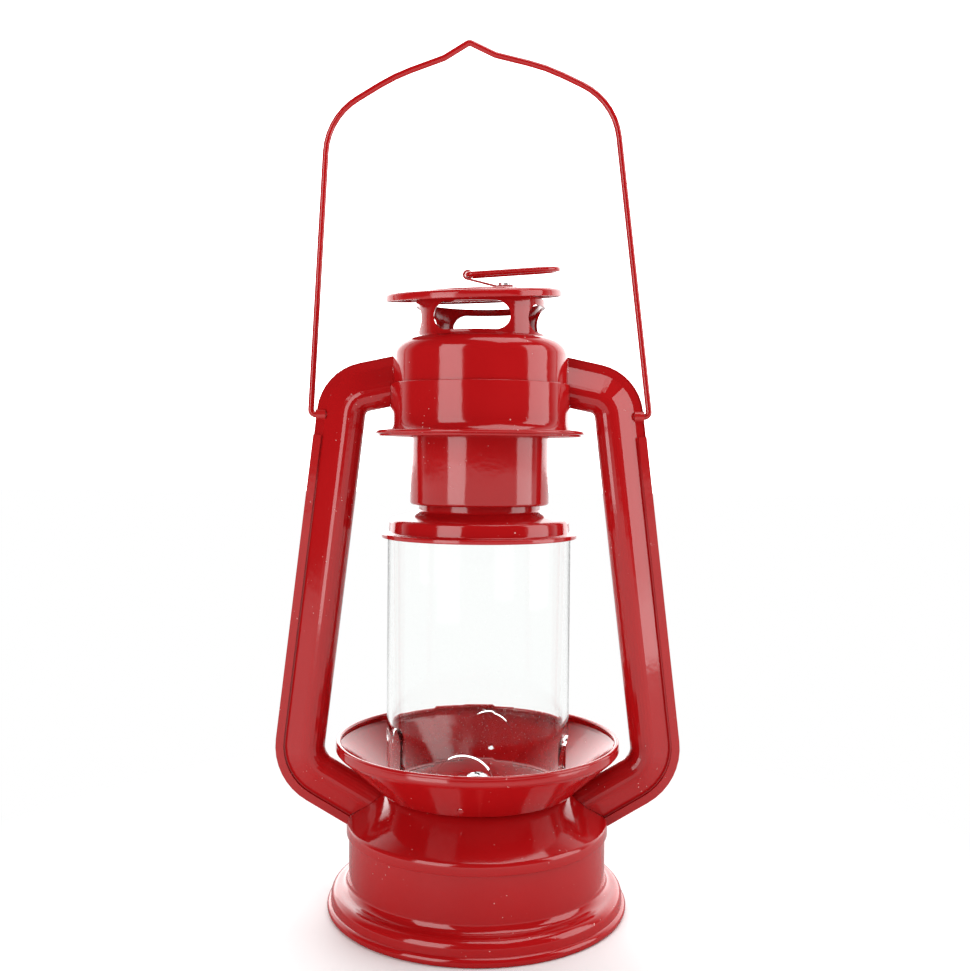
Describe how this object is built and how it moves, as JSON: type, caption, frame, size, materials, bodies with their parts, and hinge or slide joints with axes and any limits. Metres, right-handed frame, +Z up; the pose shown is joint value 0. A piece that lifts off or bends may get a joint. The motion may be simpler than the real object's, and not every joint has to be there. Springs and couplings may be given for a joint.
{
  "type": "hanging seed feeder",
  "caption": "Hanging seed feeder shaped like a hurricane lantern: clear tube in an open dish, sliding chimney, two hollow side arms, lift-off lid with pull ring, wire bail.",
  "frame": {"origin": "centre of the foot, on the surface the feeder stands on", "axes": "+Z up along the feeder's axis; the two side arms lie along X; the front faces -Y"},
  "size_m": [0.1412, 0.104, 0.2995],
  "materials": {
    "red_enamel": "gloss",
    "clear_tube": "gloss",
    "steel": "satin"
  },
  "bodies": {
    "root": {"base_wall": "red_enamel", "base_shoulder": "red_enamel", "base_floor": "red_enamel", "dish": "red_enamel", "dish_screw": "steel", "dish_washer": "steel", "dish_nut": "steel", "canopy_skirt": "red_enamel", "chimney_guide": "red_enamel", "canopy_top": "red_enamel", "left_arm_front": "red_enamel", "left_arm_back": "red_enamel", "right_arm_front": "red_enamel", "right_arm_back": "red_enamel"},
    "tube": {"seed_tube": "clear_tube"},
    "chimney": {"chimney": "red_enamel", "tube_cap": "red_enamel"},
    "lid": {"lid": "red_enamel", "lid_collar": "red_enamel", "ring_clip": "red_enamel", "clip_rivet": "steel"},
    "ring": {"lid_ring": "red_enamel"},
    "bail": {"bail": "red_enamel"}
  },
  "joints": [
    {"name": "bail_swing", "type": "hinge", "parent": "root", "child": "bail", "pos_m": [0, 0, 0.17042], "axis": [1, 0, 0], "range_deg": [-150, 150]},
    {"name": "lid_lift", "type": "slide", "parent": "root", "child": "lid", "axis": [0, 0, 1], "range_m": [0, 0.04]},
    {"name": "ring_swing", "type": "hinge", "parent": "lid", "child": "ring", "pos_m": [-0.00461, 0.00017, 0.21892], "axis": [0.0043, -0.9936, -0.1131], "range_deg": [-8, 165]},
    {"name": "chimney_lift", "type": "slide", "parent": "root", "child": "chimney", "axis": [0, 0, 1], "range_m": [0, 0.021]},
    {"name": "tube_turn", "type": "hinge", "parent": "root", "child": "tube", "pos_m": [0, 0, 0.0412], "axis": [0, 0, 1], "continuous": true}
  ]
}
